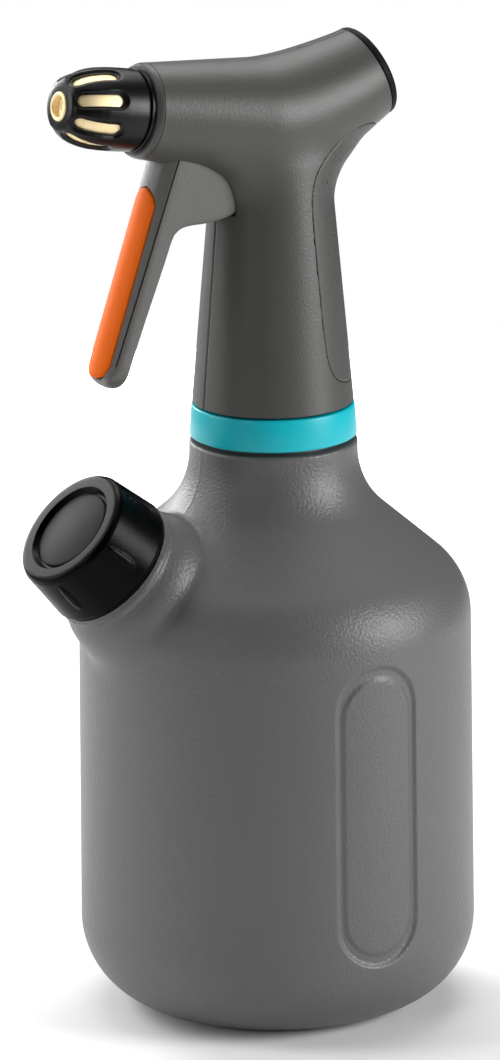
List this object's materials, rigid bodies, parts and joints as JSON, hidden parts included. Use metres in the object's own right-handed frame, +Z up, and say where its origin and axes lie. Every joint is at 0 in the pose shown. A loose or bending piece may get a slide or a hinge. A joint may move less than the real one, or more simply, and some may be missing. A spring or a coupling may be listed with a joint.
{
  "type": "pump sprayer",
  "caption": "Hand-held liquid sprayer: a round bottle with a side filler cap under a screw-on trigger pump head and an adjustable nozzle.",
  "frame": {"origin": "centre of the bottle's base, on the surface it stands on", "axes": "+Z up along the bottle's axis, nozzle towards -X, plane of symmetry of the outside is Y = 0"},
  "size_m": [0.1305, 0.1092, 0.2707],
  "materials": {
    "bottle_grey": "fine-grained blow-moulded polyethylene",
    "housing_grey": "fine spark-eroded injection-moulded plastic",
    "grip_grey": "fine-grained injection-moulded plastic",
    "black_plastic": "satin injection-moulded plastic",
    "teal_plastic": "satin injection-moulded plastic",
    "orange_rubber": "satin soft-touch elastomer",
    "natural_plastic": "natural unpigmented polypropylene",
    "seal_rubber": "moulded nitrile rubber",
    "spring_steel": "drawn stainless steel",
    "brass": "fine-turned brass"
  },
  "bodies": {
    "bottle": {"bottle": "bottle_grey"},
    "head": {"shell_left": "housing_grey", "shell_right": "housing_grey", "rear_grip": "grip_grey", "end_cap": "black_plastic", "nose_ring": "housing_grey", "neck_plug": "natural_plastic", "neck_seal": "seal_rubber", "vent_valve": "seal_rubber", "pump_body": "natural_plastic", "gland": "black_plastic", "return_spring": "spring_steel", "inlet_seat": "natural_plastic", "outlet_spring": "spring_steel", "outlet_plug": "black_plastic", "dip_tube": "natural_plastic", "tube_filter": "black_plastic", "outlet_tube": "natural_plastic", "nozzle_stem": "black_plastic", "nozzle_oring": "seal_rubber", "swirl_plug": "natural_plastic", "pivot_pin": "spring_steel"},
    "collar": {"collar_nut": "teal_plastic"},
    "filler_liner": {"filler_seal": "seal_rubber"},
    "filler_cap": {"filler_cap": "black_plastic"},
    "trigger": {"trigger": "housing_grey", "trigger_grip": "orange_rubber"},
    "piston": {"piston": "natural_plastic", "piston_seal": "seal_rubber"},
    "inlet_ball": {"inlet_ball": "spring_steel"},
    "outlet_ball": {"outlet_ball": "spring_steel"},
    "nozzle_core": {"nozzle_core": "brass"},
    "nozzle_cap": {"nozzle_cap": "black_plastic"}
  },
  "joints": [
    {"name": "collar_turn", "type": "hinge", "parent": "head", "child": "collar", "pos_m": [0, 0, 0.165], "axis": [0, 0, 1], "range_deg": [0, 540]},
    {"name": "head_lift", "type": "slide", "parent": "bottle", "child": "head", "axis": [0, 0, 1], "range_m": [0, 0.0045]},
    {"name": "filler_cap_turn", "type": "hinge", "parent": "filler_liner", "child": "filler_cap", "pos_m": [-0.05198, 0, 0.13171], "axis": [-0.7337, 0, 0.6794], "range_deg": [0, 900]},
    {"name": "filler_liner_lift", "type": "slide", "parent": "bottle", "child": "filler_liner", "axis": [-0.7337, 0, 0.6794], "range_m": [0, 0.008]},
    {"name": "trigger_pull", "type": "hinge", "parent": "head", "child": "trigger", "pos_m": [-0.0315, 0, 0.2485], "axis": [0, -1, 0], "range_deg": [0, 18], "stiffness_Nm_per_rad": 1.2, "springref_deg": -14.32},
    {"name": "piston_stroke", "type": "slide", "parent": "head", "child": "piston", "axis": [1, 0, 0], "range_m": [0, 0.00564], "deforming": ["return_spring"]},
    {"name": "inlet_ball_lift", "type": "slide", "parent": "head", "child": "inlet_ball", "axis": [0, 0, 1], "range_m": [0, 0.0008]},
    {"name": "outlet_ball_lift", "type": "slide", "parent": "head", "child": "outlet_ball", "axis": [0, 0, 1], "range_m": [0, 0.0009], "stiffness_N_per_m": 20, "springref_m": -0.005, "deforming": ["outlet_spring"]},
    {"name": "nozzle_turn", "type": "hinge", "parent": "nozzle_core", "child": "nozzle_cap", "pos_m": [-0.0404, 0, 0.2556], "axis": [-0.9863, 0, 0.165], "range_deg": [0, 405]},
    {"name": "nozzle_advance", "type": "slide", "parent": "head", "child": "nozzle_core", "axis": [-0.9863, 0, 0.165], "range_m": [0, 0.0018]}
  ],
  "couplings": [
    {"joint": "collar_turn", "follows": "head_lift", "rad_per_m": 2094.4},
    {"joint": "filler_liner_lift", "follows": "filler_cap_turn", "m_per_rad": 0.0005093},
    {"joint": "piston_stroke", "follows": "trigger_pull", "m_per_rad": 0.01795},
    {"joint": "nozzle_turn", "follows": "nozzle_advance", "rad_per_m": 3927}
  ]
}
